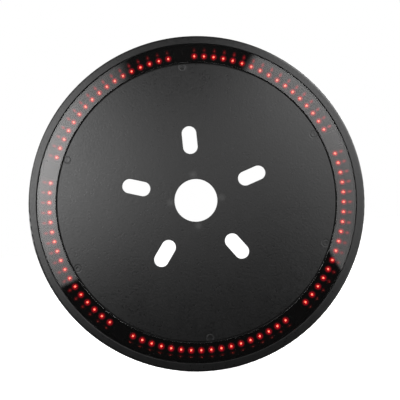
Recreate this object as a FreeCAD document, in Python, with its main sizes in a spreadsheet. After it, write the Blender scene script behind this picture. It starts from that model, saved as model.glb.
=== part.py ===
"""Spare-wheel brake light: a flat black disc with a hub hole, five lug slots and a ring of LEDs.

The disc stands upright, clamped between a tailgate's spare-wheel carrier and the wheel. Its axis is
the Y axis, its front faces -Y and its flat rear mounting face lies in the plane Y = 0, with the origin
at the middle of the hub hole. Angles run clockwise from +Z, seen from the front. Millimetres throughout.
"""
import FreeCAD, Part
import math
import os
import Sketcher
from FreeCAD import Placement, Rotation, Vector

SIZES = [
    # disc
    ("outer_dia", 355.6, "disc over its rim"),
    ("plate_thickness", 3.5, "clamped middle of the disc"),
    ("rim_width", 8.8, "flat rim outside the lens"),
    ("wall", 2.4, "moulded walls of the lamp channel"),
    ("rim_skin", 2.5, "front skin of the rim"),
    ("rim_round", 2.6, "rounding of the rim's front corner"),
    ("edge_round", 0.5, "rounding of the other front edges"),
    ("hub_dia", 45.3, "hub hole"),
    # lug slots
    ("slot_count", 5, "lug slots, and LED arcs between them"),
    ("slot_near_circle", 114.3, "circle through the slots' inner ends"),
    ("slot_far_circle", 144.3, "circle through the slots' outer ends"),
    ("slot_width", 15.4, "width of a slot"),
    # lens and its seams
    ("lens_width", 19.75, "radial width of the lens ring"),
    ("lens_thickness", 2.2, "lens ring"),
    ("inner_seam_width", 1.7, "groove between plate and lens"),
    ("outer_seam_width", 1.0, "groove between lens and rim"),
    ("seal_height", 1.0, "bead of sealant at the bottom of a groove"),
    ("ledge_width", 1.4, "overlap of lens and channel wall"),
    ("ledge_root", 2.8, "depth of the thickened root under a ledge"),
    ("root_width", 4.4, "radial width of that root"),
    # LEDs
    ("arc_leds", 17, "LEDs on one board"),
    ("arc_gap_angle", 10.35, "angle between the last LED of an arc and the first of the next"),
    ("led_offset", 0.925, "LED circle inside the middle of the channel"),
    ("led_depth", 7.5, "light-giving face behind the disc's front"),
    ("led_length", 3.5, "LED body, radial"),
    ("led_breadth", 2.8, "LED body, along the circle"),
    ("led_height", 1.9, "LED body above its board"),
    ("led_eye_dia", 2.4, "round window of an LED"),
    ("led_eye_depth", 0.6, "depth of that window"),
    # boards
    ("board_margin", 2.2, "board's edges from the channel walls"),
    ("board_thickness", 1.6, "board"),
    ("board_gap", 4.4, "space between the ends of two boards"),
    ("board_screw_inset", 2.3, "screw hole from the end of a board"),
    ("wiring_space", 1.5, "space behind a board"),
    ("resistor_count", 6, "resistors on a board"),
    ("resistor_pitch_angle", 6.0, "angle between two resistors"),
    ("resistor_offset", 3.7, "resistors inside the LED circle"),
    ("resistor_length", 3.2, "resistor, along the circle"),
    ("resistor_breadth", 1.6, "resistor, radial"),
    ("resistor_height", 0.6, "resistor"),
    ("link_offset", 3.6, "link wires either side of the LED circle"),
    ("link_dia", 1.0, "link wire with its insulation"),
    ("link_overlap", 3.0, "length of a link wire on each board"),
    # light trough
    ("trough_floor", 1.2, "floor of the trough"),
    ("trough_lip", 1.0, "thickness of the trough's wall at its mouth"),
    ("trough_inner_slope", 0.9, "inner wall's foot inside its mouth"),
    ("trough_outer_slope", 3.1, "outer wall's foot inside its mouth"),
    ("trough_end_gap", 1.7, "space between a trough's end and its bridge"),
    ("window_clearance", 0.4, "gap all round an LED in its window"),
    # bridges that carry the rim
    ("bridge_width", 14.0, "bridge along the circle"),
    ("bridge_drop", 1.8, "front of a bridge behind the lens"),
    # rear cover
    ("cover_thickness", 2.2, "rear cover"),
    ("gasket_thickness", 0.8, "gasket under the cover, squeezed"),
    ("ear_dia", 13.0, "screw ear of the cover"),
    ("post_dia", 3.0, "post that holds a board down"),
    ("post_angle", 20.0, "posts either side of a board's middle"),
    ("boss_dia", 8.5, "screw boss behind the plate"),
    ("boss_overlap", 0.25, "boss sunk into the channel's inner wall"),
    ("boss_near_angle", 66.6, "first pair of bosses from the top"),
    ("boss_far_angle", 114.2, "second pair of bosses from the top"),
    ("pilot_depth", 9.0, "pilot hole in a boss"),
    ("sink_radius", 18.0, "curvature of the sink mark over a boss"),
    ("sink_depth", 0.2, "depth of that sink mark"),
    # screws
    ("cover_screw_dia", 3.0, "cover screw's shank"),
    ("cover_screw_head_dia", 5.6, "its countersunk head"),
    ("cover_screw_length", 9.5, "its length with the head"),
    ("board_screw_dia", 2.0, "board screw's shank"),
    ("board_screw_head_dia", 4.0, "its round head"),
    ("board_screw_head_height", 1.1, "height of that head"),
    ("board_screw_length", 5.5, "its shank below the head"),
    ("recess_width", 0.7, "arm of the cross recess"),
    ("recess_depth", 0.8, "depth of the cross recess"),
    # stiffening ribs behind the plate
    ("pad_dia", 208.0, "flat mounting pad inside the ribs"),
    ("rib_count", 15, "radial ribs"),
    ("rib_first_angle", 12.0, "first rib from the top"),
    ("rib_thickness", 1.6, "ribs"),
    ("rib_height", 4.0, "ribs"),
    # lead outlet
    ("outlet_angle", 156.0, "lead outlet from the top"),
    ("outlet_dia", 6.4, "hole in the cover"),
    ("grommet_bore", 4.4, "bore for the lead"),
    ("grommet_flange_dia", 9.6, "flanges"),
    ("grommet_inner_flange", 1.0, "flange inside the cover"),
    ("grommet_outer_flange", 1.5, "flange outside the cover"),
    # fits
    ("fit_clearance", 0.2, "gap between a loose piece and its wall"),
    ("shank_clearance", 0.05, "gap round a screw's shank in its pilot hole"),
    ("hole_clearance", 0.2, "gap round a shank in the piece it holds"),
]

# places along the axis, from front to back
PLATE_FRONT = "(-size.plate_thickness)"
PLATE_BACK = "(0 * size.plate_thickness)"
LENS_BACK = "(size.lens_thickness - size.plate_thickness)"
SEAL_FRONT = f"({LENS_BACK} - size.seal_height)"
ROOT_BACK = f"({LENS_BACK} + size.ledge_root)"
RIM_SKIN_BACK = f"({PLATE_FRONT} + size.rim_skin)"
TROUGH_MOUTH = f"({LENS_BACK} + size.fit_clearance)"
BRIDGE_FRONT = f"({LENS_BACK} + size.bridge_drop)"
LED_FACE = f"({PLATE_FRONT} + size.led_depth)"
BOARD_FRONT = f"({LED_FACE} + size.led_height)"
TROUGH_FLOOR = f"({BOARD_FRONT} - size.trough_floor)"
BOARD_BACK = f"({BOARD_FRONT} + size.board_thickness)"
WALL_END = f"({BOARD_BACK} + size.wiring_space)"
COVER_FRONT = f"({WALL_END} + size.gasket_thickness)"
COVER_BACK = f"({COVER_FRONT} + size.cover_thickness)"

# radii, from the rim inwards
OUTER = "(size.outer_dia / 2)"
SKIRT_IN = f"({OUTER} - size.wall)"
RIM_IN = f"({OUTER} - size.rim_width)"
LENS_OUT = f"({RIM_IN} - size.outer_seam_width)"
CHANNEL_OUT = f"({LENS_OUT} - size.ledge_width)"
LENS_IN = f"({LENS_OUT} - size.lens_width)"
CHANNEL_IN = f"({LENS_IN} + size.ledge_width)"
PLATE_EDGE = f"({LENS_IN} - size.inner_seam_width)"
WALL_INSIDE = f"({CHANNEL_IN} - size.wall)"
LED_CIRCLE = f"(({CHANNEL_IN} + {CHANNEL_OUT}) / 2 - size.led_offset)"
BOSS_CIRCLE = f"({WALL_INSIDE} + size.boss_overlap - size.boss_dia / 2)"
TROUGH_IN = f"({CHANNEL_IN} + size.fit_clearance)"
TROUGH_OUT = f"({CHANNEL_OUT} - size.fit_clearance)"
HUB = "(size.hub_dia / 2)"

# angles, in degrees
SECTOR = "(360 / size.slot_count)"
LED_SPAN = f"({SECTOR} - size.arc_gap_angle)"
DEGREES_PER_MM = f"(180 / pi / {LED_CIRCLE})"
BOARD_SPAN = f"({SECTOR} - size.board_gap * {DEGREES_PER_MM})"
TROUGH_SPAN = f"({SECTOR} - (size.bridge_width + 2 * size.trough_end_gap) * {DEGREES_PER_MM})"
BOARD_SCREW_ANGLE = f"((size.board_gap / 2 + size.board_screw_inset) * {DEGREES_PER_MM})"
BOSS_ANGLES = [
    "(0 * size.boss_near_angle)",
    "size.boss_near_angle",
    "size.boss_far_angle",
    "(2 * 90)",
    "(-size.boss_far_angle)",
    "(-size.boss_near_angle)",
]
POST_STEPS = (-1, 0, 1)

doc = FreeCAD.newDocument("SpareWheelLight")
sheet = doc.addObject("Spreadsheet::Sheet", "size")
for row, (alias, amount, meaning) in enumerate(SIZES, start=1):
    sheet.set(f"A{row}", meaning)
    sheet.set(f"B{row}", str(amount))
    sheet.setAlias(f"B{row}", alias)
doc.recompute()

sub_parts = []


def number(expression):
    """The present value of an expression of the size sheet."""
    found = sheet.evalExpression(expression)
    return float(getattr(found, "Value", found))


def count(expression):
    """A whole number from the size sheet."""
    return int(round(number(expression)))


def at_angle(radius, angle):
    """Sketch coordinates of a point at a radius and an angle from the top."""
    return f"({radius} * sin({angle}))", f"({radius} * cos({angle}))"


def new_body(label):
    """An empty sub-part."""
    body = doc.addObject("PartDesign::Body", label)
    body.Label = label
    sub_parts.append(body)
    return body


def origin_feature(body, role):
    """A plane or an axis of the body's own origin."""
    return next(item for item in body.Origin.OriginFeatures if item.Role == role)


class Outline:
    """A sketch whose every measure is an expression of the size sheet."""

    def __init__(self, body, name, plane, depth=None, turn=None):
        self.body = body
        self.sketch = body.newObject("Sketcher::SketchObject", name)
        self.sketch.AttachmentSupport = (origin_feature(body, plane), [""])
        self.sketch.MapMode = "FlatFace"
        if depth is not None:
            # the XZ plane's normal is -Y
            self.sketch.setExpression("AttachmentOffset.Base.z", f"-({depth})")
        if turn is not None:
            # the YZ plane turned about the disc's axis, so that its second axis is a radius
            self.sketch.AttachmentOffset = Placement(Vector(), Rotation(Vector(1, 0, 0), 0))
            self.sketch.setExpression("AttachmentOffset.Rotation.Angle", turn)

    def bind(self, kind, *places, expression):
        """Add one dimension and tie it to an expression."""
        constraint = Sketcher.Constraint(kind, *places, number(expression))
        index = self.sketch.addConstraint(constraint)
        self.sketch.setExpression(f"Constraints[{index}]", expression)

    def pin_point(self, item, end, across, up):
        """Fix a point of an item at expressions for its two coordinates."""
        self.bind("DistanceX", -1, 1, item, end, expression=across)
        self.bind("DistanceY", -1, 1, item, end, expression=up)

    def polygon(self, corners):
        """Straight lines through the corners, closed."""
        points = [Vector(number(across), number(up), 0) for across, up in corners]
        lines = []
        for start, end in zip(points, points[1:] + points[:1]):
            lines.append(self.sketch.addGeometry(Part.LineSegment(start, end)))
        for line, following in zip(lines, lines[1:] + lines[:1]):
            self.sketch.addConstraint(Sketcher.Constraint("Coincident", line, 2, following, 1))
        for line, (across, up) in zip(lines, corners):
            self.pin_point(line, 1, across, up)
        return self

    def rectangle(self, left, right, low, high):
        """An upright rectangle between two pairs of expressions."""
        return self.polygon([(left, low), (right, low), (right, high), (left, high)])

    def turned_rectangle(self, radius, angle, length, breadth):
        """A rectangle at a radius and an angle, its length along the radius."""
        middle_across, middle_up = at_angle(radius, angle)
        corners = []
        for out, side in ((-1, -1), (-1, 1), (1, 1), (1, -1)):
            along = f"({out} * {length} / 2)"
            aside = f"({side} * {breadth} / 2)"
            across = f"({middle_across} + {along} * sin({angle}) + {aside} * cos({angle}))"
            up = f"({middle_up} + {along} * cos({angle}) - {aside} * sin({angle}))"
            corners.append((across, up))
        return self.polygon(corners)

    def circle(self, across, up, radius):
        """A full circle."""
        centre = Vector(number(across), number(up), 0)
        item = self.sketch.addGeometry(Part.Circle(centre, Vector(0, 0, 1), number(radius)))
        self.pin_point(item, 3, across, up)
        self.bind("Radius", item, expression=radius)
        return self

    def upright_slot(self, near, far, radius):
        """A round-ended slot on the vertical axis, between two end centres."""
        half = number(radius)
        ends = []
        for height, start in ((near, math.pi), (far, 0)):
            circle = Part.Circle(Vector(0, number(height), 0), Vector(0, 0, 1), half)
            ends.append(self.sketch.addGeometry(Part.ArcOfCircle(circle, start, start + math.pi)))
        low, high = Vector(half, number(near), 0), Vector(half, number(far), 0)
        right = self.sketch.addGeometry(Part.LineSegment(low, high))
        left = self.sketch.addGeometry(Part.LineSegment(high - Vector(2 * half, 0, 0),
                                                        low - Vector(2 * half, 0, 0)))
        for first, second in ((ends[0], right), (right, ends[1]), (ends[1], left), (left, ends[0])):
            self.sketch.addConstraint(Sketcher.Constraint("Tangent", first, 2, second, 1))
        for end, height in zip(ends, (near, far)):
            self.pin_point(end, 3, "(0 * size.slot_width)", height)
            self.bind("Radius", end, expression=radius)
        return self

    def axle(self, low, high, radius):
        """A construction line parallel to the disc's axis, to turn the outline about."""
        start = Vector(number(low), number(radius), 0)
        end = Vector(number(high), number(radius), 0)
        line = self.sketch.addGeometry(Part.LineSegment(start, end), True)
        self.pin_point(line, 1, low, radius)
        self.pin_point(line, 2, high, radius)
        return self

    def revolve(self, angle="360", axis="H_Axis"):
        """Turn the outline about an axis of its sketch, evenly to both sides."""
        feature = self.body.newObject("PartDesign::Revolution", self.sketch.Name + "_turn")
        feature.Profile = self.sketch
        feature.ReferenceAxis = (self.sketch, [axis])
        feature.Midplane = True
        feature.setExpression("Angle", angle)
        return feature

    def cross(self, radius, angle, reach, arm):
        """A cross of two equal arms at a radius and an angle."""
        middle_across, middle_up = at_angle(radius, angle)
        half = f"({arm} / 2)"
        quarter = [(half, reach), (half, half), (reach, half)]
        corners = []
        for turn in range(4):
            for aside, along in quarter:
                for _ in range(turn):
                    aside, along = along, f"(-{aside})"
                across = f"({middle_across} + {aside} * cos({angle}) + {along} * sin({angle}))"
                up = f"({middle_up} - {aside} * sin({angle}) + {along} * cos({angle}))"
                corners.append((across, up))
        return self.polygon(corners)

    def pad(self, thickness):
        """Grow the outline towards the back by a thickness."""
        feature = self.body.newObject("PartDesign::Pad", self.sketch.Name + "_pad")
        feature.Profile = self.sketch
        feature.setExpression("Length", thickness)
        feature.Reversed = True
        return feature

    def pad_both_ways(self, length):
        """Grow the outline evenly to both sides of its plane."""
        feature = self.pad(length)
        feature.Midplane = True
        return feature

    def cut(self, depth, towards_back=True):
        """Cut the outline out of the body, and make sure that something went."""
        doc.recompute()
        before = self.body.Shape.Volume
        feature = self.body.newObject("PartDesign::Pocket", self.sketch.Name + "_cut")
        feature.Profile = self.sketch
        feature.setExpression("Length", depth)
        feature.Reversed = not towards_back
        doc.recompute()
        if feature.Shape.Volume >= before:
            raise RuntimeError(f"{self.sketch.Label} cuts nothing")
        return feature


def revolved(label, corners, angle="360"):
    """A sub-part that is one outline turned about the axis; corners are (depth, radius) pairs."""
    body = new_body(label)
    Outline(body, label + "_section", "YZ_Plane").polygon(corners).revolve(angle)
    return body


def round_pattern(body, features, occurrences, angle="360"):
    """Repeat features about the disc's axis and make the pattern the body's tip."""
    pattern = body.newObject("PartDesign::PolarPattern", features[0].Name + "_ring")
    pattern.Originals = features
    pattern.Axis = (origin_feature(body, "Y_Axis"), [""])
    pattern.setExpression("Angle", angle)
    pattern.setExpression("Occurrences", occurrences)
    body.Tip = pattern
    return pattern


def circular_edges(shape, radius, depth):
    """Names of the full round edges about the axis at a radius and a depth."""
    names = []
    for index, edge in enumerate(shape.Edges, start=1):
        curve = edge.Curve
        if not isinstance(curve, Part.Circle):
            continue
        on_axis = Vector(curve.Center.x, 0, curve.Center.z).Length < 0.01
        if on_axis and abs(curve.Radius - radius) < 0.01 and abs(curve.Center.y - depth) < 0.01:
            names.append(f"Edge{index}")
    return names


def slot_edges(shape, depth):
    """Names of the edges round the lug slots at a depth."""
    low = number("size.slot_near_circle / 2 - size.slot_width / 2") - 1
    high = number("size.slot_far_circle / 2 + size.slot_width / 2") + 1
    names = []
    for index, edge in enumerate(shape.Edges, start=1):
        flat = all(abs(corner.Point.y - depth) < 0.01 for corner in edge.Vertexes)
        reach = [Vector(corner.X, 0, corner.Z).Length for corner in edge.Vertexes]
        if flat and low < min(reach) and max(reach) < high:
            names.append(f"Edge{index}")
    return names


def round_edges(body, base, name, names, radius):
    """Round the named edges of a feature."""
    feature = body.newObject("PartDesign::Fillet", name)
    feature.Base = (base, names)
    feature.setExpression("Radius", radius)
    return feature


def turn_body(body, angle):
    """Turn a finished sub-part about the disc's axis."""
    body.Placement = Placement(Vector(), Rotation(Vector(0, 1, 0), 0))
    body.setExpression("Placement.Rotation.Angle", angle)


def arc_middle(index):
    """Angle of the middle of an LED arc, counted from one."""
    return f"(({index} - 0.5) * {SECTOR})"


def make_front_housing():
    """Plate, lamp channel, bridges, rim, screw bosses and ribs, moulded in one piece."""
    body = new_body("front_housing")
    Outline(body, "plate_section", "YZ_Plane").polygon([
        (PLATE_FRONT, HUB),
        (PLATE_FRONT, PLATE_EDGE),
        (LENS_BACK, PLATE_EDGE),
        (LENS_BACK, CHANNEL_IN),
        (WALL_END, CHANNEL_IN),
        (WALL_END, WALL_INSIDE),
        (ROOT_BACK, WALL_INSIDE),
        (PLATE_BACK, f"({CHANNEL_IN} - size.root_width)"),
        (PLATE_BACK, HUB),
    ]).revolve()

    inner_wall_middle = f"({CHANNEL_IN} - size.wall / 2)"
    outer_wall_middle = f"({CHANNEL_OUT} + size.wall / 2)"
    half_bridge = "(size.bridge_width / 2)"
    bridge = Outline(body, "bridge", "XZ_Plane", BRIDGE_FRONT).rectangle(
        f"(-{half_bridge})", half_bridge, inner_wall_middle, outer_wall_middle,
    ).pad(f"{BOARD_FRONT} - {BRIDGE_FRONT}")
    round_pattern(body, [bridge], "size.slot_count")

    Outline(body, "rim_section", "YZ_Plane").polygon([
        (PLATE_FRONT, RIM_IN),
        (PLATE_FRONT, OUTER),
        (COVER_BACK, OUTER),
        (COVER_BACK, SKIRT_IN),
        (RIM_SKIN_BACK, SKIRT_IN),
        (RIM_SKIN_BACK, f"({CHANNEL_OUT} + size.root_width)"),
        (ROOT_BACK, f"({CHANNEL_OUT} + size.wall)"),
        (WALL_END, f"({CHANNEL_OUT} + size.wall)"),
        (WALL_END, CHANNEL_OUT),
        (LENS_BACK, CHANNEL_OUT),
        (LENS_BACK, RIM_IN),
    ]).revolve()

    rib_ring = Outline(body, "rib_ring", "XZ_Plane", PLATE_BACK)
    for radius in ("(size.pad_dia / 2)", "(size.pad_dia / 2 + size.rib_thickness)"):
        rib_ring.circle("(0 * size.pad_dia)", "(0 * size.pad_dia)", radius)
    rib_ring.pad("size.rib_height")

    ring_middle = "(size.pad_dia / 2 + size.rib_thickness / 2)"
    rib_middle = f"(({ring_middle} + {inner_wall_middle}) / 2)"
    rib_length = f"({inner_wall_middle} - {ring_middle})"
    rib = Outline(body, "rib", "XZ_Plane", PLATE_BACK).turned_rectangle(
        rib_middle, "size.rib_first_angle", rib_length, "size.rib_thickness",
    ).pad("size.rib_height")
    round_pattern(body, [rib], "size.rib_count")

    bosses = Outline(body, "bosses", "XZ_Plane", PLATE_BACK)
    for angle in BOSS_ANGLES:
        bosses.circle(*at_angle(BOSS_CIRCLE, angle), "(size.boss_dia / 2)")
    bosses.pad(COVER_FRONT)

    pilots = Outline(body, "pilot_holes", "XZ_Plane", COVER_FRONT)
    for angle in BOSS_ANGLES:
        pilots.circle(*at_angle(BOSS_CIRCLE, angle), "(size.cover_screw_dia / 2 + size.shank_clearance)")
    pilots.cut("size.pilot_depth", towards_back=False)

    board_pilots = Outline(body, "board_pilot_holes", "XZ_Plane", BOARD_FRONT)
    for side in (-1, 1):
        place = at_angle(LED_CIRCLE, f"({side} * {BOARD_SCREW_ANGLE})")
        board_pilots.circle(*place, "(size.board_screw_dia / 2 + size.shank_clearance)")
    board_pilot = board_pilots.cut("size.board_screw_length - size.board_thickness", towards_back=False)
    round_pattern(body, [board_pilot], "size.slot_count")

    slot = Outline(body, "lug_slot", "XZ_Plane", PLATE_FRONT).upright_slot(
        "(size.slot_near_circle / 2)", "(size.slot_far_circle / 2)", "(size.slot_width / 2)",
    ).cut("size.plate_thickness")
    round_pattern(body, [slot], "size.slot_count")

    doc.recompute()

    front = number(PLATE_FRONT)
    rim_names = circular_edges(body.Shape, number(OUTER), front)
    rim = round_edges(body, body.Tip, "rim_rounding", rim_names, "size.rim_round")
    doc.recompute()
    names = []
    for radius in (HUB, PLATE_EDGE, RIM_IN):
        names += circular_edges(rim.Shape, number(radius), front)
    names += slot_edges(rim.Shape, front)
    round_edges(body, rim, "edge_rounding", names, "size.edge_round")
    doc.recompute()

    for index, angle in enumerate(BOSS_ANGLES, start=1):
        sink = body.newObject("PartDesign::SubtractiveSphere", f"sink_mark_{index}")
        across, up = at_angle(BOSS_CIRCLE, angle)
        sink.setExpression("Radius", "size.sink_radius")
        sink.setExpression("Placement.Base.x", across)
        sink.setExpression("Placement.Base.y", f"{PLATE_FRONT} + size.sink_depth - size.sink_radius")
        sink.setExpression("Placement.Base.z", up)


def make_lens_ring():
    """Flat smoked ring, flush with the disc's front, resting on the two channel walls."""
    body = revolved("lens_ring", [
        (PLATE_FRONT, LENS_IN), (PLATE_FRONT, LENS_OUT), (LENS_BACK, LENS_OUT), (LENS_BACK, LENS_IN),
    ])
    doc.recompute()
    front = number(PLATE_FRONT)
    names = []
    for radius in (LENS_IN, LENS_OUT):
        names += circular_edges(body.Shape, number(radius), front)
    round_edges(body, body.Tip, "lens_rounding", names, "size.edge_round")


def make_lens_seals():
    """Beads of sealant at the bottom of the two grooves beside the lens."""
    for label, low, high in (
        ("lens_seal_inner", PLATE_EDGE, LENS_IN),
        ("lens_seal_outer", LENS_OUT, RIM_IN),
    ):
        revolved(label, [(SEAL_FRONT, low), (SEAL_FRONT, high), (LENS_BACK, high), (LENS_BACK, low)])


def make_light_trough(index):
    """Black trough with sloping glossy walls and a window for each LED of one arc."""
    body = revolved(f"light_trough_{index}", [
        (BOARD_FRONT, TROUGH_IN),
        (TROUGH_MOUTH, TROUGH_IN),
        (TROUGH_MOUTH, f"({TROUGH_IN} + size.trough_lip)"),
        (TROUGH_FLOOR, f"({TROUGH_IN} + size.trough_lip + size.trough_inner_slope)"),
        (TROUGH_FLOOR, f"({TROUGH_OUT} - size.trough_lip - size.trough_outer_slope)"),
        (TROUGH_MOUTH, f"({TROUGH_OUT} - size.trough_lip)"),
        (TROUGH_MOUTH, TROUGH_OUT),
        (BOARD_FRONT, TROUGH_OUT),
    ], TROUGH_SPAN)
    window = Outline(body, f"window_{index}", "XZ_Plane", TROUGH_FLOOR).turned_rectangle(
        LED_CIRCLE, f"(-{LED_SPAN} / 2)",
        "(size.led_length + 2 * size.window_clearance)", "(size.led_breadth + 2 * size.window_clearance)",
    ).cut("size.trough_floor")
    round_pattern(body, [window], "size.arc_leds", LED_SPAN)
    turn_body(body, arc_middle(index))


def make_circuit_board(index):
    """Curved board of one LED arc, screwed to a bridge at each end."""
    low = f"({CHANNEL_IN} + size.board_margin)"
    high = f"({CHANNEL_OUT} - size.board_margin)"
    body = revolved(f"circuit_board_{index}", [
        (BOARD_FRONT, low), (BOARD_FRONT, high), (BOARD_BACK, high), (BOARD_BACK, low),
    ], BOARD_SPAN)
    holes = Outline(body, f"board_holes_{index}", "XZ_Plane", BOARD_FRONT)
    for side in (-1, 1):
        angle = f"({side} * ({SECTOR} / 2 - {BOARD_SCREW_ANGLE}))"
        holes.circle(*at_angle(LED_CIRCLE, angle), "(size.board_screw_dia / 2 + size.hole_clearance)")
    holes.cut("size.board_thickness")
    turn_body(body, arc_middle(index))


def make_led_bodies(index):
    """The LED packages of one arc, each with a round window in its front."""
    body = new_body(f"led_bodies_{index}")
    first = f"(-{LED_SPAN} / 2)"
    package = Outline(body, f"package_{index}", "XZ_Plane", LED_FACE).turned_rectangle(
        LED_CIRCLE, first, "size.led_length", "size.led_breadth",
    ).pad("size.led_height")
    eye = Outline(body, f"eye_{index}", "XZ_Plane", LED_FACE).circle(
        *at_angle(LED_CIRCLE, first), "(size.led_eye_dia / 2)",
    ).cut("size.led_eye_depth")
    round_pattern(body, [package, eye], "size.arc_leds", LED_SPAN)
    turn_body(body, arc_middle(index))


def make_led_emitters(index):
    """The clear red fillings of the LED windows of one arc."""
    body = new_body(f"led_emitters_{index}")
    emitter = Outline(body, f"emitter_{index}", "XZ_Plane", LED_FACE).circle(
        *at_angle(LED_CIRCLE, f"(-{LED_SPAN} / 2)"), "(size.led_eye_dia / 2)",
    ).pad("size.led_eye_depth")
    round_pattern(body, [emitter], "size.arc_leds", LED_SPAN)
    turn_body(body, arc_middle(index))


def make_resistors(index):
    """The resistors on the back of one board."""
    body = new_body(f"resistors_{index}")
    spread = "((size.resistor_count - 1) * size.resistor_pitch_angle)"
    resistor = Outline(body, f"resistor_{index}", "XZ_Plane", BOARD_BACK).turned_rectangle(
        f"({LED_CIRCLE} - size.resistor_offset)", f"(-{spread} / 2)",
        "size.resistor_breadth", "size.resistor_length",
    ).pad("size.resistor_height")
    round_pattern(body, [resistor], "size.resistor_count", spread)
    turn_body(body, arc_middle(index))


def make_board_links():
    """Pairs of wires from board to board, in every gap but the one before the lead outlet."""
    body = new_body("board_links")
    pair = []
    for side, name in ((-1, "inner_wire"), (1, "outer_wire")):
        wire = Outline(body, name, "YZ_Plane").circle(
            f"({BOARD_BACK} + size.link_dia / 2)", f"({LED_CIRCLE} + {side} * size.link_offset)",
            "(size.link_dia / 2)",
        ).pad_both_ways("size.board_gap + 2 * size.link_overlap")
        pair.append(wire)
    round_pattern(body, pair, "size.slot_count - 1", f"{SECTOR} * (size.slot_count - 2)")
    turn_body(body, f"(floor(size.outlet_angle / {SECTOR}) + 1) * {SECTOR}")


def add_screw(body, name, angle, circle, kind, head_face, head_under, tip):
    """One screw parallel to the disc's axis, its head to the back, with a cross recess."""
    shank = f"({circle} + size.{kind}_dia / 2)"
    head = f"({circle} + size.{kind}_head_dia / 2)"
    corners = [(head_face, circle), (head_face, head), head_under(shank, head)]
    if kind == "board_screw":
        corners.append((BOARD_BACK, shank))
    corners += [(f"({tip} + size.{kind}_dia / 2)", shank), (tip, circle)]
    outline = Outline(body, name, "YZ_Plane", turn=angle).polygon(corners)
    turned = outline.axle(tip, head_face, circle).revolve(axis="Axis0")
    reach = f"(size.{kind}_head_dia / 4)"
    recess = Outline(body, name + "_recess", "XZ_Plane", head_face).cross(
        circle, angle, reach, "size.recess_width",
    ).cut("size.recess_depth", towards_back=False)
    return [turned, recess]


def make_board_screws():
    """Two round-headed screws at every bridge, one for the end of each board."""
    body = new_body("board_screws")
    head_face = f"({BOARD_BACK} + size.board_screw_head_height)"
    tip = f"({BOARD_BACK} - size.board_screw_length)"
    pair = []
    for side, name in ((-1, "screw_before_gap"), (1, "screw_after_gap")):
        angle = f"({side} * {BOARD_SCREW_ANGLE})"
        pair += add_screw(body, name, angle, LED_CIRCLE, "board_screw", head_face,
                          lambda shank, head: (BOARD_BACK, head), tip)
    round_pattern(body, pair, "size.slot_count")


def make_cover_screws():
    """Six countersunk screws, flush with the cover's back."""
    body = new_body("cover_screws")
    cone = "((size.cover_screw_head_dia - size.cover_screw_dia) / 2)"
    tip = f"({COVER_BACK} - size.cover_screw_length)"
    for index, angle in enumerate(BOSS_ANGLES, start=1):
        add_screw(body, f"cover_screw_{index}", angle, BOSS_CIRCLE, "cover_screw", COVER_BACK,
                  lambda shank, head: (f"({COVER_BACK} - {cone})", shank), tip)


def make_rear_cover():
    """Ring that closes the channel from behind, with six screw ears and posts that hold the boards."""
    cover_out = f"({SKIRT_IN} - size.fit_clearance)"
    body = revolved("rear_cover", [
        (COVER_FRONT, WALL_INSIDE),
        (COVER_FRONT, cover_out),
        (COVER_BACK, cover_out),
        (COVER_BACK, WALL_INSIDE),
    ])
    ears = Outline(body, "ears", "XZ_Plane", COVER_FRONT)
    for angle in BOSS_ANGLES:
        ears.circle(*at_angle(BOSS_CIRCLE, angle), "(size.ear_dia / 2)")
    ears.pad("size.cover_thickness")
    posts = Outline(body, "posts", "XZ_Plane", BOARD_BACK)
    for index in range(1, count("size.slot_count") + 1):
        for step in POST_STEPS:
            angle = f"({arc_middle(index)} + {step} * size.post_angle)"
            posts.circle(*at_angle(LED_CIRCLE, angle), "(size.post_dia / 2)")
    posts.pad(f"{COVER_FRONT} - {BOARD_BACK} + size.cover_thickness / 2")
    outlet = Outline(body, "outlet", "XZ_Plane", COVER_FRONT)
    outlet.circle(*at_angle(LED_CIRCLE, "size.outlet_angle"), "(size.outlet_dia / 2)")
    outlet.cut("size.cover_thickness")
    screw_places = Outline(body, "screw_places", "XZ_Plane", COVER_BACK)
    for angle in BOSS_ANGLES:
        screw_places.circle(*at_angle(BOSS_CIRCLE, angle), "(size.cover_screw_dia / 2)")
    doc.recompute()
    before = body.Shape.Volume
    holes = body.newObject("PartDesign::Hole", "screw_holes")
    holes.Profile = screw_places.sketch
    holes.Reversed = True
    holes.DepthType = "ThroughAll"
    holes.HoleCutType = "Countersink"
    holes.HoleCutCustomValues = True
    holes.setExpression("Diameter", "size.cover_screw_dia + 2 * size.hole_clearance")
    holes.setExpression("HoleCutDiameter", "size.cover_screw_head_dia + 2 * size.hole_clearance")
    holes.HoleCutCountersinkAngle = 90
    doc.recompute()
    if holes.Shape.Volume >= before:
        raise RuntimeError("the cover's screw holes cut nothing")


def make_cover_gaskets():
    """Rubber rings between the cover and the rear ends of the two channel walls."""
    inset = "(size.boss_overlap + size.fit_clearance)"
    for label, wall in (("cover_gasket_inner", WALL_INSIDE), ("cover_gasket_outer", CHANNEL_OUT)):
        low = f"({wall} + {inset})"
        high = f"({wall} + size.wall - {inset})"
        revolved(label, [(WALL_END, low), (WALL_END, high), (COVER_FRONT, high), (COVER_FRONT, low)])


def make_cable_grommet():
    """Rubber grommet that lines the lead outlet in the cover."""
    body = new_body("cable_grommet")
    bore = f"({LED_CIRCLE} + size.grommet_bore / 2)"
    neck = f"({LED_CIRCLE} + size.outlet_dia / 2)"
    flange = f"({LED_CIRCLE} + size.grommet_flange_dia / 2)"
    inside = f"({COVER_FRONT} - size.grommet_inner_flange)"
    outside = f"({COVER_BACK} + size.grommet_outer_flange)"
    Outline(body, "grommet_section", "YZ_Plane", turn="size.outlet_angle").polygon([
        (inside, bore), (inside, flange), (COVER_FRONT, flange), (COVER_FRONT, neck),
        (COVER_BACK, neck), (COVER_BACK, flange), (outside, flange), (outside, bore),
    ]).axle(inside, outside, LED_CIRCLE).revolve(axis="Axis0")


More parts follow.
